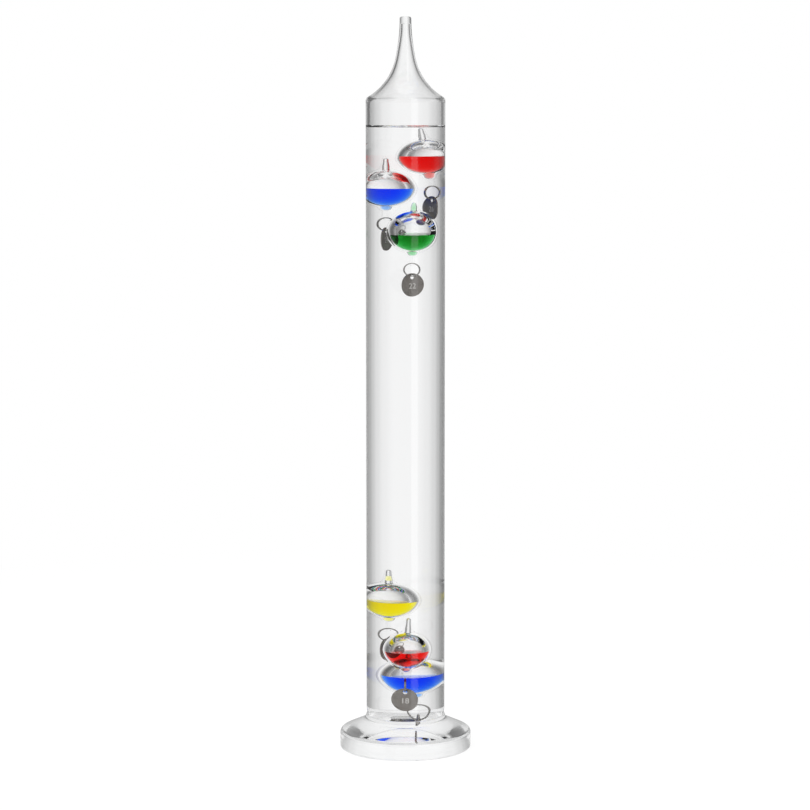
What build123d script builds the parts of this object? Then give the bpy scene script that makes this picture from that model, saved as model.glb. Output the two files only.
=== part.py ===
from build123d import *
import math
import os
from dataclasses import dataclass, replace

# A Galileo thermometer: a sealed glass tube of clear liquid, fused into a round glass foot. Six blown glass
# floats, part filled with dye, hang or rest in the liquid. Each carries a metal tag on a flat-wire ring.
# Lengths are millimetres. The origin is the centre of the foot's underside. +Z is up, the viewer of the
# photograph stands on the -Y side, and +X is to their right.

# Sealed tube
tube_diameter = 30.0
tube_wall = 1.4
floor_height = 2.4  # lowest point of the round bottom, inside
shoulder_height = 248.2  # where the straight tube ends
shoulder_blend = 1.3
neck_length = 31.0  # from the shoulder to the sealed tip
neck_start_inset = 0.7  # the drawn neck starts inside the blend
neck_start_rise = 1.0
neck_start_slope = 0.62
neck_base_radius = 6.6  # half way up the drawn cone
neck_base_rise = 8.5
neck_mid_radius = 3.1
neck_mid_rise = 19.3
neck_wall = 0.9  # drawing thins the glass
shoulder_drop = 0.45  # of the wall, by which the hollow's shoulder lies lower
tip_radius = 2.2
tip_blend = 0.7
tip_plug = 2.4  # solid glass where the tip was sealed

# Glass foot
foot_diameter = 50.4
foot_rim_height = 6.8  # where the side would meet the sloping top
foot_slope = 24.0  # degrees
foot_edge_blend = 0.9
foot_rim_blend = 2.0
foot_neck_blend = 2.0
foot_neck_lip = 0.3  # the foot's glass round the tube, above the blend

# Liquid in the tube
air_height = 10.3  # from the liquid's surface to the shoulder
meniscus_rise = 0.9
meniscus_width = 1.6
meniscus_edge = (0.25, 1)  # direction of the surface where it meets the glass
liquid_wall_gap = 0.02
float_gap = 0.3

# Blown floats
float_radius = 7.3  # of the hollow, at its widest
float_wall = 0.5
nub_radius = 1.5
stem_bore = 0.75
stem_wall = 0.38
stem_tip_wall = 0.5
flare_radius = 2.1
flare_rise = 1.1
dye_gap = 0.02
crowd_room = 0.8  # least that two axes stand apart, over a bulb's radius, for a tag to hang beside the next bulb

# Glass eyelet under each float
eyelet_radius = 1.25
eyelet_glass_radius = 0.42
eyelet_glass_sides = 6
eyelet_drop = 1.75  # from the nub's end to the centre of the loop
eyelet_overlap = 0.4

# Flat-wire ring
ring_radius = 2.42  # middle of the wire
ring_wire_thickness = 0.34
ring_wire_width = 0.6
ring_slack = 0.16  # between the eyelet's glass and the ring

# Metal tag
tag_diameter = 8.8
tag_thickness = 0.3
tag_hole_radius = 0.8
tag_hole_inset = 1.5  # hole centre below the tag's top edge
tag_slack = 0.12  # between the wire and the edge of the tag's hole

tube_radius = tube_diameter / 2
bore_radius = tube_radius - tube_wall
round_height = floor_height + bore_radius  # centre of the tube's half-ball bottom
tip_height = shoulder_height + neck_length
liquid_level = shoulder_height - air_height
bulb_radius = float_radius + float_wall


@dataclass(frozen=True)
class Float:
    """One float and where it stands. Its widest circle is also the level of its dye."""

    name: str
    bearing: float  # from the tube's axis, degrees from +X
    wall_gap: float  # between the bulb and the tube
    step: float  # of its level, from the float before, or for the first from the surface or the floor under it
    dome: float  # hollow above its widest circle
    bowl: float  # hollow below its widest circle
    nub: float
    stem: float
    lean: float = 0.0  # degrees about Y, stem towards +X
    ring_turn: float = 0.0  # degrees, 0 faces the viewer
    ring_lean: float = 0.0
    tag_turn: float = 0.0
    tag_lean: float = 0.0
    stem_dye: tuple = ()  # dye caught in the stem, from and to, above the dye level
    level: float = 0.0

    @property
    def place(self):
        """The float's distance from the tube's axis along X and along Y."""
        reach = bore_radius - bulb_radius - self.wall_gap
        return reach * math.cos(math.radians(self.bearing)), reach * math.sin(math.radians(self.bearing))


def spun(profile):
    """A solid of revolution from a closed profile, drawn as radius against height."""
    return revolve(Plane.XZ * profile, Axis.Z)


def tube_profile(wall, thin_wall, tip):
    """The tube's outline, or its hollow's: wall is taken off the tube, and thin_wall off its drawn neck."""
    radius = tube_radius - wall
    drop = wall * shoulder_drop
    leaning_in = (-1, neck_start_slope)
    neck = Spline(
        (radius - neck_start_inset, shoulder_height + neck_start_rise - drop),
        (neck_base_radius - thin_wall, shoulder_height + neck_base_rise - drop),
        (neck_mid_radius - thin_wall, shoulder_height + neck_mid_rise),
        (tip_radius - thin_wall, tip),
        tangents=[leaning_in, (0, 1)],
    )
    bottom = CenterArc((0, round_height), radius, -90, 90)
    side = Line(bottom @ 1, (radius, shoulder_height - shoulder_blend))
    shoulder = Spline(side @ 1, neck @ 0, tangents=[(0, 1), leaning_in])
    return make_face([bottom, side, shoulder, neck, Line(neck @ 1, (0, tip)), Line((0, tip), bottom @ 0)])


def tube_outside():
    """Everything inside the tube's outer skin."""
    skin = spun(tube_profile(0.0, 0.0, tip_height))
    return fillet(skin.edges().group_by(Axis.Z)[-1], tip_blend)


def tube_hollow(gap=0.0):
    """The space inside the tube, up to the sealed tip."""
    return spun(tube_profile(tube_wall + gap, neck_wall + gap, tip_height - tip_plug))


def glass_tube():
    """The drawn and sealed tube with its round bottom."""
    return tube_outside() - tube_hollow()


def glass_foot():
    """The foot: a low round block with a sloping top, and a well that the tube's round bottom fills."""
    radius = foot_diameter / 2
    lip = tube_radius + foot_neck_lip
    slope = math.tan(math.radians(foot_slope))
    neck_foot = foot_rim_height + (radius - lip) * slope
    blend_run = foot_neck_blend * math.tan(math.radians((90 - foot_slope) / 2))
    lip_height = neck_foot + blend_run + foot_neck_lip
    outline = Polyline(
        (0, 0), (radius, 0), (radius, foot_rim_height), (lip, neck_foot), (lip, lip_height), (0, lip_height), (0, 0)
    )
    block = spun(make_face(outline))
    for height, blend in ((0, foot_edge_blend), (foot_rim_height, foot_rim_blend), (neck_foot, foot_neck_blend)):
        rings = block.edges().filter_by(GeomType.CIRCLE)
        block = fillet(rings.sort_by(lambda edge: abs(edge.center().Z - height))[0], blend)
    return block - tube_outside()


def bulb_arc(radius, rise, at):
    """The part of a ball's outline from its cap's rim, at height 0, up to where its radius is at."""
    ball = (radius**2 + rise**2) / (2 * rise)
    centre = rise - ball
    start = math.degrees(math.atan2(-centre, radius))
    end = math.degrees(math.acos(at / ball))
    return CenterArc((0, centre), ball, start, end - start)


def blown_solid(radius, dome, bowl, nub, nub_end, flare, flare_top, stem, stem_end):
    """A blown bulb about its widest circle at height 0: nub, bowl, dome, flare and stem."""
    upper = bulb_arc(radius, dome, flare)
    lower = mirror(bulb_arc(radius, bowl, nub), Plane.XZ)
    top = Polyline(upper @ 1, (stem, flare_top), (stem, stem_end), (0, stem_end))
    end = Polyline((0, stem_end), (0, -nub_end), (nub, -nub_end), lower @ 1)
    return spun(make_face([lower, upper, top, end]))


def float_hollow(one, gap=0.0):
    """The space inside a float, about its widest circle."""
    bore = stem_bore - gap
    return blown_solid(
        float_radius - gap,
        one.dome - gap,
        one.bowl - gap,
        nub_radius - gap,
        one.bowl + one.nub - gap,
        bore,
        one.dome + flare_rise,
        bore,
        one.dome + one.stem - gap,
    )


def float_skin(one, gap=0.0):
    """Everything inside a float's outer surface, about its widest circle, grown by gap."""
    wall = float_wall + gap
    outer_dome = one.dome + wall
    return blown_solid(
        float_radius + wall,
        outer_dome,
        one.bowl + wall,
        nub_radius + wall,
        one.bowl + one.nub + wall,
        flare_radius + gap,
        outer_dome + flare_rise,
        stem_bore + stem_wall + gap,
        one.dome + one.stem + stem_tip_wall + gap,
    )


def eyelet_height(one):
    """Centre of the eyelet's loop below the float's widest circle."""
    return -(one.bowl + one.nub + float_wall + eyelet_drop)


def eyelet(one):
    """The glass loop under the nub; it lies across the plane of the ring that hangs in it."""
    section = RegularPolygon(eyelet_glass_radius, eyelet_glass_sides)
    loop = revolve(Plane.XZ * Pos(eyelet_radius, 0) * section, Axis.Z, 180)
    loop = Rot(90, 0, 0) * Rot(0, 0, 180) * loop
    leg_length = eyelet_drop + eyelet_overlap
    legs = [extrude(Pos(side * eyelet_radius, 0, 0) * section, leg_length) for side in (-1, 1)]
    turn = one.ring_turn + 90
    return Pos(0, 0, eyelet_height(one)) * Rot(0, 0, turn) * (loop + legs[0] + legs[1])


def float_frame(one):
    """Where a float's own frame stands in the tube: the centre of its widest circle."""
    return Pos(*one.place, one.level) * Rot(0, one.lean, 0)


def bar_point(one):
    """Middle of the eyelet's lowest glass, which carries the ring."""
    return (float_frame(one) * Pos(0, 0, eyelet_height(one) - eyelet_radius)).position


def ring_frame(one):
    """The ring's own frame: its centre, with the wire's circle in the frame's XZ plane."""
    hang = ring_radius - ring_wire_thickness / 2 - eyelet_glass_radius - ring_slack
    return Pos(bar_point(one)) * Rot(0, 0, one.ring_turn) * Rot(0, one.ring_lean, 0) * Pos(0, 0, -hang)


def tag_frame(one):
    """The tag's own frame: the centre of its hole, with the disc in the frame's XZ plane."""
    centre = ring_frame(one).position
    crossing = math.radians(one.tag_turn - one.ring_turn)
    reach = (ring_wire_width + tag_thickness * abs(math.cos(crossing))) / 2 / abs(math.sin(crossing))
    drop = math.sqrt(tag_hole_radius**2 - reach**2) - ring_wire_thickness / 2 - tag_slack
    hook = Pos(centre.X, centre.Y, centre.Z - ring_radius - drop)
    return hook * Rot(0, 0, one.tag_turn) * Rot(0, one.tag_lean, 0)


def hanging(one):
    """From a float's level down to the lowest point of its tag, before the float has its level."""
    return tag_diameter - tag_hole_inset - tag_frame(one).position.Z


def standing(one):
    """From a float's level up to the tip of its stem."""
    return one.dome + one.stem + stem_tip_wall


def settled(crowd, start, direction):
    """The floats of a crowd with their levels: from the surface down (-1), or from the floor up (1)."""
    done = []
    level = start
    for one in crowd:
        step = one.step
        if done and math.dist(one.place, done[-1].place) < bulb_radius + crowd_room:
            upper, lower = (crowd[len(done) - 1], one)[::-direction]
            step = hanging(upper) + standing(lower) + float_gap
        level += direction * step
        done.append(replace(one, level=level))
    return done


def floor_under(one):
    """Height of the tube's round bottom under a float's axis."""
    return round_height - math.sqrt(bore_radius**2 - math.hypot(*one.place) ** 2)


risen = [
    Float(
        "top_red", 17.4, 0.45, 10.8, dome=6.3, bowl=6.7, nub=1.9, stem=4.3, lean=-7.6, ring_turn=50.0, tag_turn=-50.0
    ),
    Float("top_blue", 155.4, 0.5, 12.1, dome=6.8, bowl=6.9, nub=1.4, stem=4.6, ring_turn=17.0, tag_turn=62.0),
    Float(
        "top_green", -62.9, 0.97, 17.2, dome=8.8, bowl=6.5, nub=1.5, stem=3.3, lean=1.5, ring_turn=-12.0,
        tag_turn=46.0, stem_dye=(9.1, 12.2)
    ),
]
sunk = [
    Float("low_blue", 72.9, 0.36, 24.3, dome=6.6, bowl=7.3, nub=1.5, stem=1.7, lean=-6.0, tag_turn=90.0, tag_lean=30.0),
    Float(
        "low_red", -85.0, 1.18, 10.9, dome=7.2, bowl=6.5, nub=1.5, stem=5.6, lean=2.5, ring_turn=90.0,
        ring_lean=20.0, tag_turn=-23.0
    ),
    Float("low_yellow", 139.6, 0.55, 18.4, dome=6.9, bowl=6.5, nub=1.5, stem=5.2, tag_turn=50.0, stem_dye=(8.0, 9.7)),
]
floats = settled(risen, liquid_level, -1) + settled(sunk, floor_under(sunk[0]), 1)


def ampoule(one):
    """The blown glass of a float, with its sealed stem above and its eyelet below."""
    return float_frame(one) * (float_skin(one) + eyelet(one) - float_hollow(one))


def band(low, high):
    """All space between two heights, wider than the tube."""
    return Pos(0, 0, (low + high) / 2) * Box(2 * tube_diameter, 2 * tube_diameter, high - low)


def dye(one):
    """The dye in a float, level whatever the float's lean, and any that was caught in its stem."""
    hollow = float_frame(one) * float_hollow(one, dye_gap)
    parts = [hollow & band(one.level - tube_diameter, one.level)]
    if one.stem_dye:
        parts.append(hollow & band(one.level + one.stem_dye[0], one.level + one.stem_dye[1]))
    return Compound([solid for part in parts for solid in part.solids()])


def ring(one):
    """The flat-wire ring that joins a tag to its float."""
    outer = ring_radius + ring_wire_thickness / 2
    inner = ring_radius - ring_wire_thickness / 2
    wire = Cylinder(outer, ring_wire_width) - Cylinder(inner, ring_wire_width)
    return ring_frame(one) * Rot(90, 0, 0) * wire


def tag_disc(grown=0.0):
    """A round disc as large as the tag, or grown all round, with the tag's hole at the origin."""
    centre_drop = tag_diameter / 2 - tag_hole_inset
    return Pos(0, -centre_drop, 0) * Cylinder(tag_diameter / 2 + grown, tag_thickness + 2 * grown)


def tag(one):
    """The round metal tag, hung by a hole near its edge."""
    hole = Cylinder(tag_hole_radius, 2 * tag_thickness)
    return tag_frame(one) * Rot(90, 0, 0) * (tag_disc() - hole)


def float_pocket(one):
    """The room that a float, its ring and its tag keep free of liquid."""
    nub_end = one.bowl + one.nub
    loop_end = float_gap - eyelet_height(one) + eyelet_radius + eyelet_glass_radius
    loop_room = Cylinder(nub_radius + float_wall, loop_end - nub_end)
    body = float_frame(one) * (float_skin(one, float_gap) + Pos(0, 0, -(nub_end + loop_end) / 2) * loop_room)
    ring_size = ring_radius + ring_wire_thickness / 2 + float_gap
    ring_room = ring_frame(one) * Rot(90, 0, 0) * Cylinder(ring_size, ring_wire_width + 2 * float_gap)
    return body + ring_room + tag_frame(one) * Rot(90, 0, 0) * tag_disc(float_gap)


def clear_liquid():
    """The liquid, with the curved edge of its surface, less the room of each float."""
    edge = bore_radius - liquid_wall_gap
    top = liquid_level + meniscus_rise
    start = (edge - meniscus_width, liquid_level)
    climb = Spline(start, (edge, top), tangents=[(1, 0), meniscus_edge])
    air = make_face(
        [
            Line((0, liquid_level), start),
            climb,
            Polyline((edge, top), (tube_diameter, top), (tube_diameter, tip_height), (0, tip_height), (0, liquid_level)),
        ]
    )
    body = tube_hollow(liquid_wall_gap) - spun(air)
    for one in floats:
        body -= float_pocket(one)
    return body


def write(name, shape):
    """One STEP file for one node."""
    export_step(shape, f"parts/{name}.step")


os.makedirs("parts", exist_ok=True)
write("glass_foot", glass_foot())
write("glass_tube", glass_tube())
write("clear_liquid", clear_liquid())
for each in floats:
    write(f"{each.name}_ampoule", ampoule(each))
    write(f"{each.name}_dye", dye(each))
    write(f"{each.name}_ring", ring(each))
    write(f"{each.name}_tag", tag(each))
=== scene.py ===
"""Looks of a float thermometer: sealed tube, clear liquid, blown floats with dye, rings and tags."""

import logging
import math
from collections.abc import Callable
from dataclasses import dataclass
from enum import Enum

import bmesh
import bpy
from mathutils import Matrix, Vector
from mathutils.geometry import interpolate_bezier

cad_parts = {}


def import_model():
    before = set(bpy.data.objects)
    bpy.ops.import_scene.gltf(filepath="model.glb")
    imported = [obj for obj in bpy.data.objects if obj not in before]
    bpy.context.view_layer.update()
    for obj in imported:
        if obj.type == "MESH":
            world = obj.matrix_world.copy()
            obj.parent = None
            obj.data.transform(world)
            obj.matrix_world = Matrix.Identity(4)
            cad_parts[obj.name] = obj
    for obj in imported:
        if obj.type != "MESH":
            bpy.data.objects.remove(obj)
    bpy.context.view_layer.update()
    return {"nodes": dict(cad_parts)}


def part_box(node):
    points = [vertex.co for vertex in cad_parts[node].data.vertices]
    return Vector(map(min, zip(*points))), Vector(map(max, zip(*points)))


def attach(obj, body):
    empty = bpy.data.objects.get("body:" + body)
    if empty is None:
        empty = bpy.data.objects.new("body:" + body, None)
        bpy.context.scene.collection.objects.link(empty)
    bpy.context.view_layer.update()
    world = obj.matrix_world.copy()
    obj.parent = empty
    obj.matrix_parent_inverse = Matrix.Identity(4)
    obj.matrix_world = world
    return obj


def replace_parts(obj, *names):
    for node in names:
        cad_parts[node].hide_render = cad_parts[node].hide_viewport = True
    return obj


LOG = logging.getLogger("thermometer")
MM = 0.001
GLASS_IOR = 1.47
LIQUID_IOR = 1.45
DYE_IOR = 1.36
SAME_IOR = 1.0
UP = (0, 1)
OUTWARDS = (1, 0)
INWARDS = (-1, 0)
TUBE_STEPS = 128
FOOT_STEPS = 160
FLOAT_STEPS = 96
ROUND_PARTS = 28
SMOOTH_BELOW = math.radians(38)
SAME_POINT = 1e-7
EYELET_MERGE = 1e-6
SPUN_MERGE = 2e-6
WEAR_INPUTS = {"Patch Scale": 200.0, "Scratch Scale": 1500.0, "Least": 0.0, "Most": 0.1}
WEAR_OUTPUTS = ("Mask", "Roughness", "Height")
PATCH_DETAIL = 4.0
SCRATCH_DETAIL = 2.0
SCRATCH_STRETCH = (1.0, 1.0, 0.06)
Outline = list[tuple[float, float]]
Marks = tuple[tuple[float, float], ...]


class Hue(Enum):
    """The dyes, each as the colour and the density of the volume that takes up light."""

    RED = ((0.975, 0.12, 0.08), 520.0)
    BLUE = ((0.02, 0.50, 0.998), 480.0)
    GREEN = ((0.05, 0.74, 0.22), 480.0)
    YELLOW = ((0.99, 0.962, 0.03), 560.0)


class Metal(Enum):
    """Metals of the hanging parts: base colour, tarnish colour, least roughness."""

    RING = ((0.42, 0.41, 0.40), (0.20, 0.19, 0.18), 0.26)
    TAG = ((0.40, 0.38, 0.36), (0.20, 0.18, 0.165), 0.34)
    DIGIT = ((0.86, 0.85, 0.83), (0.62, 0.60, 0.57), 0.22)


@dataclass(frozen=True)
class Wear:
    """How uneven a surface is: scales of its patches and scratches, and its roughness."""

    patch_scale: float
    scratch_scale: float
    least: float
    most: float


CLEAR_WEAR = Wear(60.0, 90.0, 0.0, 0.001)
DYE_WEAR = Wear(60.0, 90.0, 0.0, 0.002)


def new_material(name: str) -> tuple[bpy.types.Material, bpy.types.NodeTree, bpy.types.Node]:
    """Makes a material with a Principled BSDF.

    Args:
        name: Name of the material.

    Returns:
        The material, its node tree and its Principled BSDF.
    """
    material = bpy.data.materials.new(name)
    material.use_nodes = True
    tree = material.node_tree
    return material, tree, tree.nodes["Principled BSDF"]


def wear_group() -> bpy.types.NodeTree:
    """Makes the shared group for uneven surfaces: cloudy patches and fine scratches.

    Returns:
        The node group, with a mask, a roughness and a height that change over the surface.
    """
    group = bpy.data.node_groups.new("surface_wear", "ShaderNodeTree")
    for name, value in WEAR_INPUTS.items():
        socket = group.interface.new_socket(name, in_out="INPUT", socket_type="NodeSocketFloat")
        socket.default_value = value
    for name in WEAR_OUTPUTS:
        group.interface.new_socket(name, in_out="OUTPUT", socket_type="NodeSocketFloat")
    nodes, links = group.nodes, group.links
    given = nodes.new("NodeGroupInput")
    result = nodes.new("NodeGroupOutput")
    place = nodes.new("ShaderNodeTexCoord")
    patches = nodes.new("ShaderNodeTexNoise")
    patches.inputs["Detail"].default_value = PATCH_DETAIL
    stretch = nodes.new("ShaderNodeMapping")
    stretch.inputs["Scale"].default_value = SCRATCH_STRETCH
    scratches = nodes.new("ShaderNodeTexNoise")
    scratches.inputs["Detail"].default_value = SCRATCH_DETAIL
    spread = nodes.new("ShaderNodeMapRange")
    links.new(place.outputs["Object"], patches.inputs["Vector"])
    links.new(given.outputs["Patch Scale"], patches.inputs["Scale"])
    links.new(place.outputs["Object"], stretch.inputs["Vector"])
    links.new(stretch.outputs["Vector"], scratches.inputs["Vector"])
    links.new(given.outputs["Scratch Scale"], scratches.inputs["Scale"])
    links.new(patches.outputs["Fac"], spread.inputs["Value"])
    links.new(given.outputs["Least"], spread.inputs["To Min"])
    links.new(given.outputs["Most"], spread.inputs["To Max"])
    links.new(patches.outputs["Fac"], result.inputs["Mask"])
    links.new(spread.outputs["Result"], result.inputs["Roughness"])
    links.new(scratches.outputs["Fac"], result.inputs["Height"])
    return group


def add_wear(tree: bpy.types.NodeTree, wear: Wear) -> bpy.types.Node:
    """Places the wear group in a material with values of its own.

    Args:
        tree: The material's nodes.
        wear: The values.

    Returns:
        The group's node.
    """
    node = tree.nodes.new("ShaderNodeGroup")
    node.node_tree = bpy.data.node_groups.get("surface_wear") or wear_group()
    values = (wear.patch_scale, wear.scratch_scale, wear.least, wear.most)
    for name, value in zip(WEAR_INPUTS, values):
        node.inputs[name].default_value = value
    return node


def add_bump(
    tree: bpy.types.NodeTree,
    shader: bpy.types.Node,
    height: bpy.types.NodeSocket,
    strength: float,
    depth: float,
) -> None:
    """Feeds a height into a shader's normal.

    Args:
        tree: The material's nodes.
        shader: Its shader.
        height: The socket that gives the height.
        strength: Strength of the bump, as a share.
        depth: Depth of the bump, in metres.
    """
    bump = tree.nodes.new("ShaderNodeBump")
    bump.inputs["Strength"].default_value = strength
    bump.inputs["Distance"].default_value = depth
    tree.links.new(height, bump.inputs["Height"])
    tree.links.new(bump.outputs["Normal"], shader.inputs["Normal"])


def directly_seen(tree: bpy.types.NodeTree) -> bpy.types.NodeSocket:
    """Adds nodes that tell rays from the camera, from gloss and through glass from the rest.

    Args:
        tree: The nodes of a material or of the world.

    Returns:
        A socket that is 1 for those rays and 0 for the others.
    """
    ray = tree.nodes.new("ShaderNodeLightPath")
    seen = ray.outputs["Is Camera Ray"]
    for kind in ("Is Glossy Ray", "Is Transmission Ray"):
        either = tree.nodes.new("ShaderNodeMath")
        either.operation = "MAXIMUM"
        tree.links.new(seen, either.inputs[0])
        tree.links.new(ray.outputs[kind], either.inputs[1])
        seen = either.outputs[0]
    return seen


class Finish:
    """A finish that is made into a material once, and found by its name after that."""

    @property
    def title(self) -> str:
        """Name of the material."""
        raise NotImplementedError

    def fill(self, tree: bpy.types.NodeTree, shader: bpy.types.Node) -> None:
        """Sets up the material's nodes."""
        raise NotImplementedError

    def material(self) -> bpy.types.Material:
        """Makes the material, or finds it if it was made before.

        Returns:
            The material.
        """
        found = bpy.data.materials.get(self.title)
        if found is None:
            found, tree, shader = new_material(self.title)
            self.fill(tree, shader)
        return found


@dataclass(frozen=True)
class ClearFinish(Finish):
    """Clear glass or liquid where it meets what is on the other side, with faint waves."""

    name: str
    ior: float
    tint: tuple[float, float, float] = (1.0, 1.0, 1.0)
    wave: float = 0.0
    wave_depth: float = 0.0002

    @property
    def title(self) -> str:
        """Name of the material."""
        return self.name

    def fill(self, tree: bpy.types.NodeTree, shader: bpy.types.Node) -> None:
        """Sets up the clear material.

        Args:
            tree: Its nodes.
            shader: Its shader.
        """
        shader.inputs["Metallic"].default_value = 0.0
        shader.inputs["Transmission Weight"].default_value = 1.0
        shader.inputs["IOR"].default_value = self.ior
        shader.inputs["Base Color"].default_value = (*self.tint, 1.0)
        wear = add_wear(tree, CLEAR_WEAR)
        tree.links.new(wear.outputs["Roughness"], shader.inputs["Roughness"])
        if self.wave:
            add_bump(tree, shader, wear.outputs["Mask"], self.wave, self.wave_depth)


@dataclass(frozen=True)
class DyeFinish(Finish):
    """Coloured liquid that takes up light with depth."""

    hue: Hue

    @property
    def title(self) -> str:
        """Name of the material."""
        return f"{self.hue.name.lower()}_dye_finish"

    def fill(self, tree: bpy.types.NodeTree, shader: bpy.types.Node) -> None:
        """Sets up the dye: a skin that bends no light, round a volume that takes it up.

        Args:
            tree: Its nodes.
            shader: Its shader.
        """
        colour, density = self.hue.value
        shader.inputs["Metallic"].default_value = 0.0
        shader.inputs["Transmission Weight"].default_value = 1.0
        shader.inputs["IOR"].default_value = SAME_IOR
        shader.inputs["Base Color"].default_value = (1.0, 1.0, 1.0, 1.0)
        wear = add_wear(tree, DYE_WEAR)
        tree.links.new(wear.outputs["Roughness"], shader.inputs["Roughness"])
        absorb = tree.nodes.new("ShaderNodeVolumeAbsorption")
        absorb.inputs["Color"].default_value = (*colour, 1.0)
        absorb.inputs["Density"].default_value = density
        tree.links.new(absorb.outputs["Volume"], tree.nodes["Material Output"].inputs["Volume"])


@dataclass(frozen=True)
class MetalFinish(Finish):
    """Dull metal with tarnish in patches and fine scratches."""

    metal: Metal
    patch_scale: float = 420.0
    scratch_scale: float = 5200.0
    roughness_spread: float = 0.22
    scratch_strength: float = 0.25
    scratch_depth: float = 0.00005

    @property
    def title(self) -> str:
        """Name of the material."""
        return f"{self.metal.name.lower()}_metal_finish"

    def fill(self, tree: bpy.types.NodeTree, shader: bpy.types.Node) -> None:
        """Sets up the metal, its tarnish and its scratches.

        Args:
            tree: Its nodes.
            shader: Its shader.
        """
        bright, tarnish, least = self.metal.value
        most = least + self.roughness_spread
        shader.inputs["Metallic"].default_value = 1.0
        wear = add_wear(tree, Wear(self.patch_scale, self.scratch_scale, least, most))
        blend = tree.nodes.new("ShaderNodeMix")
        blend.data_type = "RGBA"
        blend.inputs["A"].default_value = (*tarnish, 1.0)
        blend.inputs["B"].default_value = (*bright, 1.0)
        tree.links.new(wear.outputs["Mask"], blend.inputs["Factor"])
        tree.links.new(blend.outputs["Result"], shader.inputs["Base Color"])
        tree.links.new(wear.outputs["Roughness"], shader.inputs["Roughness"])
        add_bump(tree, shader, wear.outputs["Height"], self.scratch_strength, self.scratch_depth)


# The index of each surface is the ratio of the two materials that meet there.
OUTER_GLASS = ClearFinish("outer_glass", GLASS_IOR, (0.985, 0.988, 0.99))
DRY_GLASS = ClearFinish("dry_inner_glass", GLASS_IOR)
WET_GLASS = ClearFinish("wet_inner_glass", GLASS_IOR / LIQUID_IOR)
FUSED_GLASS = ClearFinish("fused_glass", SAME_IOR)
FOOT_GLASS = ClearFinish("foot_outer_glass", GLASS_IOR, (0.985, 0.99, 0.992))
LIQUID_TOP = ClearFinish("liquid_surface", LIQUID_IOR)
LIQUID_SIDE = ClearFinish("liquid_side", SAME_IOR)
FLOAT_GLASS = ClearFinish("float_outer_glass", GLASS_IOR / LIQUID_IOR, (0.98, 0.98, 0.98))
FLOAT_DRY = ClearFinish("float_dry_inner_glass", GLASS_IOR, wave=0.012)
FLOAT_WET = ClearFinish("float_wet_inner_glass", GLASS_IOR / DYE_IOR)
DYE_TOP = ClearFinish("dye_surface", DYE_IOR)


def arc(centre: float, radius: float, start: float, end: float, steps: int) -> Outline:
    """Points along a circle that is centred on the axis.

    Args:
        centre: Height of the circle's centre.
        radius: Its radius.
        start: First angle, degrees above the horizontal.
        end: Last angle.
        steps: Number of parts.

    Returns:
        The points, as radius and height.
    """
    angles = [math.radians(start + (end - start) * step / steps) for step in range(steps + 1)]
    return [(max(radius * math.cos(angle), 0.0), centre + radius * math.sin(angle)) for angle in angles]


def curve(*knots: tuple[float, float, float, float], parts: int = 10, reach: float = 0.36) -> Outline:
    """Points along a smooth curve through knots.

    Args:
        *knots: Radius, height and the direction of the curve at each.
        parts: Points between two knots.
        reach: Length of the handles, as a share of the distance between knots.

    Returns:
        The points, as radius and height.
    """
    made: Outline = []
    for first, last in zip(knots, knots[1:]):
        start, end = Vector((*first[:2], 0.0)), Vector((*last[:2], 0.0))
        span = (end - start).length * reach
        leave = start + Vector((*first[2:], 0.0)).normalized() * span
        arrive = end - Vector((*last[2:], 0.0)).normalized() * span
        made += [(point.x, point.y) for point in interpolate_bezier(start, leave, arrive, end, parts)]
    return made


def only(kind: type, found: list) -> list:
    """Picks the vertices, the edges or the faces out of what an operator gives back."""
    return [each for each in found if isinstance(each, kind)]


def spun(outline: Outline, steps: int = FLOAT_STEPS) -> bmesh.types.BMesh:
    """Spins an outline about the Z axis into a closed skin whose faces point outwards.

    Args:
        outline: Radius and height of each point, in millimetres. Its ends lie on the axis.
        steps: Parts of the full turn.

    Returns:
        The skin, in metres.
    """
    made = bmesh.new()
    verts = []
    for radius, height in outline:
        point = Vector((radius * MM, 0.0, height * MM))
        if not verts or (verts[-1].co - point).length > SAME_POINT:
            verts.append(made.verts.new(point))
    edges = [made.edges.new(pair) for pair in zip(verts, verts[1:])]
    bmesh.ops.spin(
        made, geom=verts + edges, cent=(0, 0, 0), axis=(0, 0, 1), angle=math.tau, steps=steps, use_merge=True
    )
    bmesh.ops.remove_doubles(made, verts=made.verts[:], dist=SPUN_MERGE)
    bmesh.ops.recalc_face_normals(made, faces=made.faces[:])
    return made


def cut_level(
    made: bmesh.types.BMesh, height: float, way: float = 1.0, clear: bool = False
) -> list[bmesh.types.BMEdge]:
    """Cuts a mesh along a level plane.

    Args:
        made: The mesh.
        height: Height of the plane, in metres.
        way: 1 for a plane that faces up, -1 for one that faces down.
        clear: Whether the side that the plane faces is taken away.

    Returns:
        The edges of the cut.
    """
    geom = made.verts[:] + made.edges[:] + made.faces[:]
    cut = bmesh.ops.bisect_plane(
        made, geom=geom, plane_co=(0, 0, height), plane_no=(0, 0, way), clear_outer=clear
    )
    return only(bmesh.types.BMEdge, cut["geom_cut"])


def draw_up(made: bmesh.types.BMesh, edges: list[bmesh.types.BMEdge], rise: float) -> None:
    """Draws edges upwards into a wall.

    Args:
        made: The mesh that they belong to.
        edges: The edges.
        rise: Height of the wall, in metres.
    """
    drawn = bmesh.ops.extrude_edge_only(made, edges=edges)["geom"]
    bmesh.ops.translate(made, verts=only(bmesh.types.BMVert, drawn), vec=(0, 0, rise))


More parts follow.
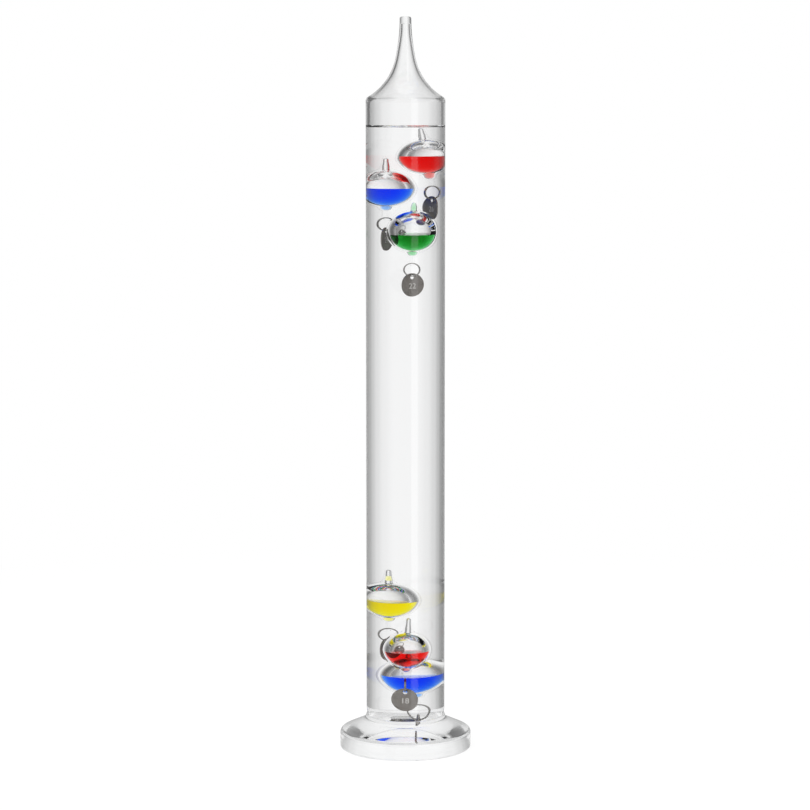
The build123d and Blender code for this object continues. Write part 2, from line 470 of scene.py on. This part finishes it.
def joined(parts: list[bmesh.types.BMesh]) -> bmesh.types.BMesh:
    """Puts several meshes into the first one.

    Args:
        parts: The meshes; all but the first are freed.

    Returns:
        The first mesh.
    """
    whole = parts[0]
    for part in parts[1:]:
        carrier = bpy.data.meshes.new("carrier")
        part.to_mesh(carrier)
        part.free()
        whole.from_mesh(carrier)
        bpy.data.meshes.remove(carrier)
    return whole


def dress(made: bmesh.types.BMesh, finishes: list[Finish], rule: Callable[[Vector], Finish]) -> None:
    """Gives each face the finish that a rule names for its centre."""
    for face in made.faces:
        face.material_index = finishes.index(rule(face.calc_center_median()))


def piece(
    name: str, made: bmesh.types.BMesh, finishes: list[Finish], body: str
) -> bpy.types.Object:
    """Turns a mesh into a piece that rides on a body.

    Args:
        name: Name of the piece.
        made: Its mesh, in place; it is freed.
        finishes: Its finishes, in the order of the faces' indices.
        body: The body that it rides on.

    Returns:
        The object.
    """
    mesh = bpy.data.meshes.new(name)
    made.to_mesh(mesh)
    made.free()
    for finish in finishes:
        mesh.materials.append(finish.material())
    mesh.shade_smooth()
    mesh.set_sharp_from_angle(angle=SMOOTH_BELOW)
    thing = bpy.data.objects.new(name, mesh)
    bpy.context.scene.collection.objects.link(thing)
    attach(thing, body)
    LOG.info("%s: %d faces on %s", name, len(mesh.polygons), body)
    return thing


@dataclass
class SealedTube:
    """The drawn tube, with its outer and inner skins. Lengths are in millimetres."""

    radius: float = 15.0
    wall: float = 1.4
    round_height: float = 16.0
    wall_rows: int = 40
    shoulder: float = 248.2
    bend_below: float = 1.3
    shoulder_inset: float = 0.7
    shoulder_rise: float = 1.0
    shoulder_slope: float = 0.62
    inner_drop: float = 0.45
    throat_radius: float = 6.6
    throat_rise: float = 8.5
    neck_radius: float = 3.1
    neck_rise: float = 19.3
    neck_slope: float = 0.16
    end_radius: float = 2.2
    end_round: float = 0.7
    seal_radius: float = 1.5
    seal_thinning: float = 0.6
    tip: float = 279.2
    thin_wall: float = 0.9
    plug: float = 2.4
    fused_below: float = 12.81
    wet_below: float = 238.8

    def skin(self, wall: float, thin: float, tip: float) -> Outline:
        """The outline of the tube, less a wall.

        Args:
            wall: Taken off the tube.
            thin: Taken off the drawn neck.
            tip: Height of its end.

        Returns:
            The outline.
        """
        radius = self.radius - wall
        drop = wall * self.inner_drop
        slope = self.shoulder_slope
        bend = self.shoulder - self.bend_below
        rise = bend - self.round_height
        low = arc(self.round_height, radius, -90, 0, ROUND_PARTS)
        rows = [(radius, self.round_height + rise * n / self.wall_rows) for n in range(self.wall_rows + 1)]
        close = (self.end_radius - thin, tip - self.end_round, *UP)
        neck = curve(
            (radius, bend, *UP),
            (radius - self.shoulder_inset, self.shoulder + self.shoulder_rise - drop, -1, slope),
            (self.throat_radius - thin, self.shoulder + self.throat_rise - drop, -slope, 1),
            (self.neck_radius - thin, self.shoulder + self.neck_rise, -self.neck_slope, 1),
            close,
            parts=16,
        )
        end = curve(close, (self.seal_radius - thin * self.seal_thinning, tip, *INWARDS), parts=6)
        return low + rows + neck + end + [(0.0, tip)]

    def build(self) -> None:
        """Makes the tube and dresses its skins."""
        finishes = [OUTER_GLASS, DRY_GLASS, WET_GLASS, FUSED_GLASS]
        fused = self.fused_below * MM
        outer = spun(self.skin(0.0, 0.0, self.tip), TUBE_STEPS)
        cut_level(outer, fused)
        dress(outer, finishes, lambda at: FUSED_GLASS if at.z < fused else OUTER_GLASS)
        wet = self.wet_below * MM
        inner = spun(self.skin(self.wall, self.thin_wall, self.tip - self.plug), TUBE_STEPS)
        bmesh.ops.reverse_faces(inner, faces=inner.faces[:])
        cut_level(inner, wet)
        dress(inner, finishes, lambda at: WET_GLASS if at.z < wet else DRY_GLASS)
        made = piece("sealed_tube", joined([outer, inner]), finishes, "vessel")
        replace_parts(made, "glass_tube")


@dataclass
class GlassFoot:
    """The foot: a low round block with a sloping top, and a well for the tube. In millimetres."""

    radius: float = 25.2
    base_round: float = 0.9
    base_reach: float = 0.39
    rim_height: float = 6.8
    rim_round: float = 1.3
    bevel: float = 1.18
    bevel_reach: float = 0.38
    slope: float = 24.0
    lip_radius: float = 15.3
    lip_height: float = 12.81
    lip_round: float = 0.3
    lip_width: float = 0.12
    well_radius: float = 15.0
    well_centre: float = 16.0
    well_margin: float = 0.02
    base_margin: float = 0.5

    def build(self) -> None:
        """Makes the foot with its rounded edges and its well."""
        rise = math.tan(math.radians(self.slope))
        neck = self.rim_height + (self.radius - self.lip_radius) * rise
        base = curve(
            (self.radius - self.base_round, 0.0, *OUTWARDS),
            (self.radius, self.base_round, *UP),
            parts=7,
            reach=self.base_reach,
        )
        rim = curve(
            (self.radius, self.rim_height - self.rim_round, *UP),
            (self.radius - self.bevel, self.rim_height + self.bevel * rise, -1, rise),
            parts=12,
            reach=self.bevel_reach,
        )
        lip = curve(
            (self.lip_radius + self.bevel, neck - self.bevel * rise, -1, rise),
            (self.lip_radius, self.lip_height - self.lip_round, *UP),
            parts=10,
            reach=self.bevel_reach,
        )
        edge = (self.lip_radius - self.lip_width, self.lip_height)
        highest = math.degrees(math.asin((self.lip_height - self.well_centre) / self.well_radius))
        well = arc(self.well_centre, self.well_radius, highest, -90, ROUND_PARTS)
        made = spun([(0.0, 0.0), *base, *rim, *lip, edge, *well], FOOT_STEPS)
        centre = Vector((0, 0, self.well_centre * MM))
        limit = (self.well_radius + self.well_margin) * MM
        floor = self.base_margin * MM
        finishes = [FOOT_GLASS, FUSED_GLASS]
        dress(
            made,
            finishes,
            lambda at: FUSED_GLASS if (at - centre).length < limit and at.z > floor else FOOT_GLASS,
        )
        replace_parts(piece("foot_block", made, finishes, "vessel"), "glass_foot")


@dataclass
class ClearLiquid:
    """The liquid in the tube, with the raised edge of its surface. Lengths are in millimetres."""

    radius: float = 13.58
    round_height: float = 16.0
    level: float = 237.9
    meniscus_rise: float = 0.9
    meniscus_width: float = 1.6
    meniscus_lean: float = 0.25
    meniscus_reach: float = 0.5
    side_margin: float = 0.001
    level_margin: float = 0.01

    def build(self) -> None:
        """Makes the liquid and dresses its surface and its sides."""
        top = curve(
            (self.radius, self.level + self.meniscus_rise, -self.meniscus_lean, -1),
            (self.radius - self.meniscus_width, self.level, *INWARDS),
            parts=10,
            reach=self.meniscus_reach,
        )
        low = arc(self.round_height, self.radius, -90, 0, ROUND_PARTS)
        made = spun(low + top + [(0.0, self.level)], TUBE_STEPS)
        limit = (self.radius - self.side_margin) * MM
        floor = (self.level - self.level_margin) * MM
        finishes = [LIQUID_TOP, LIQUID_SIDE]
        dress(
            made,
            finishes,
            lambda at: LIQUID_TOP if at.z > floor and math.hypot(at.x, at.y) < limit else LIQUID_SIDE,
        )
        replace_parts(piece("liquid_fill", made, finishes, "vessel"), "clear_liquid")


@dataclass(frozen=True)
class FloatSkin:
    """One skin of a float: its distance from the hollow, and the radii of stem, nub and flare."""

    wall: float
    stem: float
    nub: float
    flare: float


DYE_GAP = 0.02
OUTSIDE = FloatSkin(wall=0.5, stem=1.13, nub=2.0, flare=2.1)
HOLLOW = FloatSkin(wall=0.0, stem=0.75, nub=1.5, flare=0.9)
FILLING = FloatSkin(-DYE_GAP, HOLLOW.stem - DYE_GAP, HOLLOW.nub - DYE_GAP, HOLLOW.flare)


@dataclass
class BlownFloat:
    """One blown float with its dye, ring and numbered tag. In millimetres, turns in degrees."""

    name: str
    hue: Hue
    number: int
    place: tuple[float, float]
    level: float
    dome: float
    bowl: float
    nub: float
    stem: float
    lean: float = 0.0
    ring_turn: float = 0.0
    tag_turn: float = 0.0
    tag_lean: float = 0.0
    stem_dye: tuple[float, float] | None = None
    radius: float = 7.3
    ball_parts: int = 26
    nub_join: float = 0.6
    nub_width: float = 0.92
    nub_rise: float = 0.6
    nub_lean: float = 0.1
    flare_join: float = 0.5
    flare_rise: float = 1.7
    stem_foot: float = 1.2
    stem_head: float = 0.88
    stem_least: float = 0.05
    stem_taper: float = 0.16
    stem_reach: float = 0.42
    eye_radius: float = 1.25
    eye_drop: float = 1.75
    eye_legs: float = 2.15
    eye_wire: float = 0.42
    eye_sides: int = 14
    eye_steps: int = 20
    lid_gap: float = 0.008
    digit_size: float = 2.9
    digit_depth: float = 0.03
    digit_curves: int = 4
    digit_out: float = 0.16
    digit_drop: float = 0.5

    @property
    def frame(self) -> Matrix:
        """Where the float's widest circle stands, in metres."""
        shift = Matrix.Translation(Vector((*self.place, self.level)) * MM)
        return shift @ Matrix.Rotation(math.radians(self.lean), 4, "Y")

    @property
    def caught(self) -> list[float]:
        """Heights of both ends of the dye that is caught in the stem, in metres, if there is any."""
        return [self.level * MM + each * MM for each in self.stem_dye or ()]

    @property
    def dye_finishes(self) -> list[Finish]:
        """Finishes of the dye's skin and of its surface."""
        return [DyeFinish(self.hue), DYE_TOP]

    def ball(self, radius: float, rise: float, at: float) -> Outline:
        """The part of a ball's outline from its widest circle up to where its radius is at.

        Args:
            radius: Radius of the widest circle.
            rise: Height of the cap over it.
            at: Radius where the outline ends.

        Returns:
            The outline.
        """
        size = (radius**2 + rise**2) / (2 * rise)
        start = math.degrees(math.atan2(size - rise, radius))
        return arc(rise - size, size, start, math.degrees(math.acos(at / size)), self.ball_parts)

    def outline(self, skin: FloatSkin) -> Outline:
        """Outline of one of the float's skins, about its widest circle.

        Args:
            skin: The skin.

        Returns:
            The outline, from the nub's end to the stem's.
        """
        radius = self.radius + skin.wall
        tip = self.dome + self.stem + skin.wall
        deep = -(self.bowl + self.nub + skin.wall)
        under = self.ball(radius, self.bowl + skin.wall, skin.nub + self.nub_join)
        bowl = [(across, -down) for across, down in reversed(under)]
        dome = self.ball(radius, self.dome + skin.wall, skin.flare + self.flare_join)
        low_way = (bowl[1][0] - bowl[0][0], bowl[1][1] - bowl[0][1])
        high_way = (dome[-1][0] - dome[-2][0], dome[-1][1] - dome[-2][1])
        nub = curve(
            (0.0, deep, *OUTWARDS),
            (skin.nub * self.nub_width, deep + skin.nub * self.nub_rise, self.nub_lean, 1),
            (*bowl[0], *low_way),
            parts=9,
        )
        narrow = skin.stem * self.stem_head
        head = tip - narrow
        rise = min(self.dome + skin.wall + self.flare_rise, head - self.stem_least)
        foot = (skin.stem * self.stem_foot, rise, -self.stem_taper, 1)
        flare = curve((*dome[-1], *high_way), foot, parts=12, reach=self.stem_reach)
        end = curve(foot, (narrow, head, *UP), (0.0, tip, *INWARDS), parts=9, reach=self.stem_reach)
        return nub + bowl + dome + flare + end

    def eyelet(self) -> bmesh.types.BMesh:
        """Makes the glass eyelet: a half ring with two legs that run up into the nub.

        Returns:
            The mesh.
        """
        made = bmesh.new()
        bmesh.ops.create_circle(made, segments=self.eye_sides, radius=self.eye_wire * MM)
        bmesh.ops.rotate(made, verts=made.verts[:], matrix=Matrix.Rotation(math.radians(90), 3, "Z"))
        bmesh.ops.translate(made, verts=made.verts[:], vec=(self.eye_radius * MM, 0, 0))
        first = made.edges[:]
        draw_up(made, first, self.eye_legs * MM)
        swept = bmesh.ops.spin(
            made,
            geom=first,
            cent=(0, 0, 0),
            axis=(0, 1, 0),
            angle=math.pi,
            steps=self.eye_steps,
            use_duplicate=False,
        )["geom_last"]
        draw_up(made, only(bmesh.types.BMEdge, swept), self.eye_legs * MM)
        bmesh.ops.remove_doubles(made, verts=made.verts[:], dist=EYELET_MERGE)
        bmesh.ops.holes_fill(made, edges=made.edges[:], sides=0)
        bmesh.ops.recalc_face_normals(made, faces=made.faces[:])
        drop = -(self.bowl + self.nub + OUTSIDE.wall + self.eye_drop)
        turn = Matrix.Rotation(math.radians(self.ring_turn + 90), 4, "Z")
        place = Matrix.Translation((0, 0, drop * MM)) @ turn
        bmesh.ops.transform(made, matrix=place, verts=made.verts[:])
        return made

    def build_glass(self) -> None:
        """Makes the blown glass: outer skin, inner skin and eyelet."""
        finishes = [FLOAT_GLASS, FLOAT_DRY, FLOAT_WET]
        outer = spun(self.outline(OUTSIDE))
        inner = spun(self.outline(HOLLOW))
        bmesh.ops.reverse_faces(inner, faces=inner.faces[:])
        bmesh.ops.transform(inner, matrix=self.frame, verts=inner.verts[:])
        level = self.level * MM
        for height in (level, *self.caught):
            cut_level(inner, height)
        low, high = self.caught or (0.0, 0.0)
        dress(inner, finishes, lambda at: FLOAT_WET if at.z < level or low < at.z < high else FLOAT_DRY)
        outside = joined([outer, self.eyelet()])
        bmesh.ops.transform(outside, matrix=self.frame, verts=outside.verts[:])
        whole = joined([outside, inner])
        made = piece(f"{self.name}_bulb", whole, finishes, f"{self.name}_float")
        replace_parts(made, f"{self.name}_ampoule")

    def part_of_dye(self, low: float | None, high: float) -> bmesh.types.BMesh:
        """The hollow's filling between two heights, with each surface as a second skin.

        Args:
            low: Lower height in metres, or None for the hollow's end.
            high: Height of its surface.

        Returns:
            The mesh.
        """
        made = spun(self.outline(FILLING))
        bmesh.ops.transform(made, matrix=self.frame, verts=made.verts[:])
        cuts = [(high, 1.0)] + ([(low, -1.0)] if low is not None else [])
        surfaces = []
        for height, way in cuts:
            rim = cut_level(made, height, way, clear=True)
            if rim:
                faces = bmesh.ops.contextual_create(made, geom=rim)["faces"]
                surfaces.append((faces[0], way))
        bmesh.ops.recalc_face_normals(made, faces=made.faces[:])
        for face, way in surfaces:
            lid = bmesh.ops.duplicate(made, geom=[face])["geom"]
            lift = (0, 0, way * self.lid_gap * MM)
            bmesh.ops.translate(made, verts=only(bmesh.types.BMVert, lid), vec=lift)
            for each in only(bmesh.types.BMFace, lid):
                each.material_index = self.dye_finishes.index(DYE_TOP)
        return made

    def build_dye(self) -> None:
        """Makes the dye in the bulb, and any that is caught in the stem."""
        parts = [self.part_of_dye(None, self.level * MM)]
        if self.caught:
            parts.append(self.part_of_dye(*self.caught))
        whole = joined(parts)
        made = piece(f"{self.name}_filling", whole, self.dye_finishes, f"{self.name}_float")
        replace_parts(made, f"{self.name}_dye")

    def digits(self) -> bmesh.types.BMesh:
        """Makes the tag's number, lying flat and centred.

        Returns:
            The mesh.
        """
        text = bpy.data.curves.new(f"{self.name}_digits", "FONT")
        text.body = str(self.number)
        text.size = self.digit_size * MM
        text.align_x = "CENTER"
        text.align_y = "CENTER"
        text.extrude = self.digit_depth * MM
        text.resolution_u = self.digit_curves
        carrier = bpy.data.objects.new("digits", text)
        bpy.context.scene.collection.objects.link(carrier)
        flat = bpy.data.meshes.new_from_object(carrier)
        made = bmesh.new()
        made.from_mesh(flat)
        bpy.data.objects.remove(carrier)
        bpy.data.curves.remove(text)
        bpy.data.meshes.remove(flat)
        bmesh.ops.remove_doubles(made, verts=made.verts[:], dist=SAME_POINT)
        return made

    def build_number(self) -> None:
        """Stands the tag's number up on both of its faces."""
        made = self.digits()
        bmesh.ops.rotate(made, verts=made.verts[:], matrix=Matrix.Rotation(math.radians(90), 3, "X"))
        bmesh.ops.translate(made, verts=made.verts[:], vec=(0, -self.digit_out * MM, -self.digit_drop * MM))
        again = bmesh.ops.duplicate(made, geom=made.verts[:] + made.edges[:] + made.faces[:])["geom"]
        half_turn = Matrix.Rotation(math.pi, 3, "Z")
        bmesh.ops.rotate(made, verts=only(bmesh.types.BMVert, again), matrix=half_turn)
        low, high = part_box(f"{self.name}_tag")
        turn = Matrix.Rotation(math.radians(self.tag_turn), 4, "Z")
        lean = Matrix.Rotation(math.radians(self.tag_lean), 4, "Y")
        place = Matrix.Translation((low + high) / 2) @ turn @ lean
        bmesh.ops.transform(made, matrix=place, verts=made.verts[:])
        piece(f"{self.name}_number", made, [MetalFinish(Metal.DIGIT)], f"{self.name}_tag")

    def build(self, nodes: dict[str, bpy.types.Object]) -> None:
        """Makes the float's glass, dye and number, and dresses its ring and tag.

        Args:
            nodes: The CAD nodes, by name.
        """
        self.build_glass()
        self.build_dye()
        self.build_number()
        for part, metal in (("ring", Metal.RING), ("tag", Metal.TAG)):
            mesh = nodes[f"{self.name}_{part}"].data
            mesh.materials.clear()
            mesh.materials.append(MetalFinish(metal).material())
            LOG.info("%s_%s: CAD node dressed", self.name, part)


# How bright the light tent is at each bearing, in degrees from straight behind towards +X. The
# first list is for light that comes through glass, and the second for light that is mirrored.
TENT_THROUGH_GLASS: Marks = (
    (-180, 0.95), (-100, 0.9), (-74, 0.3), (-56, 0.13), (-44, 0.14), (-35, 0.28), (-27, 0.50),
    (-20, 0.70), (-12, 0.86), (-5, 0.95), (5, 0.95), (12, 0.88), (20, 0.75), (27, 0.59),
    (35, 0.40), (44, 0.26), (54, 0.2), (70, 0.3), (96, 0.9), (180, 0.95),
)
TENT_MIRRORED: Marks = (
    (-180, 0.16), (-90, 0.4), (90, 0.4), (110, 0.16), (147, 0.16), (151, 1.6), (164, 1.6),
    (168, 0.16), (180, 0.16),
)


@dataclass(frozen=True)
class SoftLamp:
    """A large square lamp: where it hangs and its size in metres, and its power in watts."""

    name: str
    place: tuple[float, float, float]
    power: float
    size: float = 0.9


LAMPS = (SoftLamp("key", (-0.7, -0.6, 1.1), 22.0), SoftLamp("fill", (0.8, -0.3, 0.9), 14.0))


@dataclass
class Studio:
    """Camera, backdrop, floor and lights. Lengths are in metres, the lens and sensor in millimetres."""

    distance: float = 1.0131
    height: float = 0.2471
    tilt: float = 6.449
    side: float = -0.00019
    lens: float = 118.85
    sensor: float = 36.0
    nearest: float = 0.01
    soft_light: tuple[float, float, float] = (0.55, 0.55, 0.56)
    floor_gap: float = 0.00006
    floor_size: float = 6.0
    floor_tone: float = 0.9
    floor_roughness: float = 0.9
    # Glow of the floor for rays through glass: painted shade that makes the glass look greyer.
    floor_through_glass: float = 0.78
    fade_start: float = 0.03
    fade_end: float = 0.45
    fade_least: float = 0.9
    tent_radius: float = 0.05
    tent_height: float = 0.42
    tent_gap: float = 0.0005
    tent_sides: int = 180
    lamp_target: tuple[float, float, float] = (0.0, 0.0, 0.12)
    glass_bounces: int = 48
    other_bounces: int = 24

    def camera(self) -> None:
        """Places the camera where the photographer's was."""
        data = bpy.data.cameras.new("camera")
        data.lens = self.lens
        data.sensor_width = self.sensor
        data.clip_start = self.nearest
        camera = bpy.data.objects.new("camera", data)
        camera.location = (self.side, -self.distance, self.height)
        camera.rotation_euler = (math.radians(90 - self.tilt), 0, 0)
        bpy.context.scene.collection.objects.link(camera)
        bpy.context.scene.camera = camera

    def world(self) -> None:
        """A white backdrop for the eye, for gloss and through glass, and plain soft light for the rest."""
        world = bpy.data.worlds.new("studio")
        bpy.context.scene.world = world
        world.use_nodes = True
        tree = world.node_tree
        blend = tree.nodes.new("ShaderNodeMix")
        blend.data_type = "RGBA"
        blend.inputs["A"].default_value = (*self.soft_light, 1.0)
        blend.inputs["B"].default_value = (1.0, 1.0, 1.0, 1.0)
        tree.links.new(directly_seen(tree), blend.inputs["Factor"])
        tree.links.new(blend.outputs["Result"], tree.nodes["Background"].inputs["Color"])

    def floor(self) -> None:
        """A pale floor that shows white away from the object and keeps a soft shadow near it. Through glass
        it glows dimmer: painted shade that greys the glass.
        """
        material, tree, shader = new_material("pale_floor")
        shader.inputs["Base Color"].default_value = (self.floor_tone, self.floor_tone, self.floor_tone, 1.0)
        shader.inputs["Roughness"].default_value = self.floor_roughness
        shader.inputs["Specular IOR Level"].default_value = 0.0
        place = tree.nodes.new("ShaderNodeTexCoord")
        away = tree.nodes.new("ShaderNodeVectorMath")
        away.operation = "LENGTH"
        fade = tree.nodes.new("ShaderNodeMapRange")
        fade.inputs["From Min"].default_value = self.fade_start
        fade.inputs["From Max"].default_value = self.fade_end
        fade.inputs["To Min"].default_value = self.fade_least
        share = tree.nodes.new("ShaderNodeMath")
        share.operation = "MULTIPLY"
        ray = tree.nodes.new("ShaderNodeLightPath")
        # Painted shade: the floor glows dimmer for rays that come through glass than for the camera.
        dim = tree.nodes.new("ShaderNodeMapRange")
        dim.inputs["To Min"].default_value = 1.0
        dim.inputs["To Max"].default_value = self.floor_through_glass
        glow = tree.nodes.new("ShaderNodeEmission")
        mix = tree.nodes.new("ShaderNodeMixShader")
        tree.links.new(place.outputs["Object"], away.inputs[0])
        tree.links.new(away.outputs["Value"], fade.inputs["Value"])
        tree.links.new(directly_seen(tree), share.inputs[0])
        tree.links.new(fade.outputs["Result"], share.inputs[1])
        tree.links.new(ray.outputs["Is Transmission Ray"], dim.inputs["Value"])
        tree.links.new(dim.outputs["Result"], glow.inputs["Strength"])
        tree.links.new(share.outputs[0], mix.inputs[0])
        tree.links.new(shader.outputs[0], mix.inputs[1])
        tree.links.new(glow.outputs[0], mix.inputs[2])
        tree.links.new(mix.outputs[0], tree.nodes["Material Output"].inputs["Surface"])
        made = bmesh.new()
        bmesh.ops.create_grid(made, x_segments=1, y_segments=1, size=self.floor_size)
        bmesh.ops.translate(made, verts=made.verts[:], vec=(0, 0, -self.floor_gap))
        self.stand("floor", made, material)

    def stand(self, name: str, made: bmesh.types.BMesh, material: bpy.types.Material) -> bpy.types.Object:
        """Puts a piece of the studio in the scene.

        Args:
            name: Its name.
            made: Its mesh; it is freed.
            material: Its material.

        Returns:
            The object.
        """
        mesh = bpy.data.meshes.new(name)
        made.to_mesh(mesh)
        made.free()
        mesh.materials.append(material)
        mesh.shade_smooth()
        thing = bpy.data.objects.new(name, mesh)
        bpy.context.scene.collection.objects.link(thing)
        return thing

    def tent_material(self) -> bpy.types.Material:
        """Makes the tent's glow, which changes with the bearing and with the kind of ray.

        Returns:
            The material.
        """
        material, tree, shader = new_material("light_tent")
        tree.nodes.remove(shader)
        place = tree.nodes.new("ShaderNodeTexCoord")
        apart = tree.nodes.new("ShaderNodeSeparateXYZ")
        bearing = tree.nodes.new("ShaderNodeMath")
        bearing.operation = "ARCTAN2"
        share = tree.nodes.new("ShaderNodeMapRange")
        share.inputs["From Min"].default_value = -math.pi
        share.inputs["From Max"].default_value = math.pi
        ray = tree.nodes.new("ShaderNodeLightPath")
        pick = tree.nodes.new("ShaderNodeMix")
        pick.data_type = "RGBA"
        glow = tree.nodes.new("ShaderNodeEmission")
        for marks, side in ((TENT_MIRRORED, "A"), (TENT_THROUGH_GLASS, "B")):
            ramp = tree.nodes.new("ShaderNodeValToRGB")
            ramp.color_ramp.interpolation = "EASE"
            stops = ramp.color_ramp.elements
            while len(stops) < len(marks):
                stops.new(0.5)
            for stop, (angle, bright) in zip(stops, marks):
                stop.position = (angle + 180) / 360
                stop.color = (bright, bright, bright, 1.0)
            tree.links.new(share.outputs["Result"], ramp.inputs["Fac"])
            tree.links.new(ramp.outputs["Color"], pick.inputs[side])
        tree.links.new(place.outputs["Object"], apart.inputs[0])
        tree.links.new(apart.outputs["X"], bearing.inputs[0])
        tree.links.new(apart.outputs["Y"], bearing.inputs[1])
        tree.links.new(bearing.outputs[0], share.inputs["Value"])
        tree.links.new(ray.outputs["Is Transmission Ray"], pick.inputs["Factor"])
        tree.links.new(pick.outputs["Result"], glow.inputs["Color"])
        tree.links.new(glow.outputs[0], tree.nodes["Material Output"].inputs["Surface"])
        return material

    def tent(self) -> None:
        """A ring of light round the object that only gloss and light through glass can see."""
        made = bmesh.new()
        bmesh.ops.create_circle(made, segments=self.tent_sides, radius=self.tent_radius)
        bmesh.ops.translate(made, verts=made.verts[:], vec=(0, 0, self.tent_gap))
        draw_up(made, made.edges[:], self.tent_height)
        thing = self.stand("light_tent", made, self.tent_material())
        thing.visible_camera = False
        thing.visible_diffuse = False
        thing.visible_shadow = False

    def lamps(self) -> None:
        """The soft lamps, above and in front."""
        for each in LAMPS:
            data = bpy.data.lights.new(each.name, "AREA")
            data.shape = "SQUARE"
            data.size = each.size
            data.energy = each.power
            lamp = bpy.data.objects.new(each.name, data)
            lamp.location = each.place
            aim = Vector(self.lamp_target) - Vector(each.place)
            lamp.rotation_euler = aim.to_track_quat("-Z", "Y").to_euler()
            lamp.visible_camera = False
            lamp.visible_glossy = False
            lamp.visible_transmission = False
            bpy.context.scene.collection.objects.link(lamp)

    def build(self) -> None:
        """Sets up the whole studio."""
        scene = bpy.context.scene
        scene.view_settings.view_transform = "Standard"
        scene.cycles.max_bounces = self.glass_bounces
        scene.cycles.transmission_bounces = self.glass_bounces
        scene.cycles.glossy_bounces = self.other_bounces
        scene.cycles.transparent_max_bounces = self.other_bounces
        self.camera()
        self.world()
        self.floor()
        self.tent()
        self.lamps()


FLOATS = (
    BlownFloat(
        "top_red", Hue.RED, number=26, place=(5.11, 1.60), level=227.10,
        dome=6.3, bowl=6.7, nub=1.9, stem=4.3, lean=-7.6, ring_turn=50, tag_turn=-50,
    ),
    BlownFloat(
        "top_blue", Hue.BLUE, number=24, place=(-4.82, 2.21), level=215.00,
        dome=6.8, bowl=6.9, nub=1.4, stem=4.6, ring_turn=17, tag_turn=62,
    ),
    BlownFloat(
        "top_green", Hue.GREEN, number=22, place=(2.20, -4.30), level=197.80,
        dome=8.8, bowl=6.5, nub=1.5, stem=3.3, lean=1.5, ring_turn=-12, tag_turn=46, stem_dye=(9.1, 12.2),
    ),
    BlownFloat(
        "low_yellow", Hue.YELLOW, number=20, place=(-4.00, 3.40), level=57.14,
        dome=6.9, bowl=6.5, nub=1.5, stem=5.2, tag_turn=50, stem_dye=(8.0, 9.7),
    ),
    BlownFloat(
        "low_red", Hue.RED, number=18, place=(0.40, -4.60), level=38.74,
        dome=7.2, bowl=6.5, nub=1.5, stem=5.6, lean=2.5, ring_turn=90, tag_turn=-23,
    ),
    BlownFloat(
        "low_blue", Hue.BLUE, number=16, place=(1.60, 5.20), level=27.84,
        dome=6.6, bowl=7.3, nub=1.5, stem=1.7, lean=-6, tag_turn=90, tag_lean=30,
    ),
)


def main() -> None:
    """Builds the studio and every piece."""
    logging.basicConfig(level=logging.INFO, format="%(name)s: %(message)s")
    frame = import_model()
    Studio().build()
    SealedTube().build()
    GlassFoot().build()
    ClearLiquid().build()
    for each in FLOATS:
        each.build(frame["nodes"])


if __name__ == "__main__":
    main()
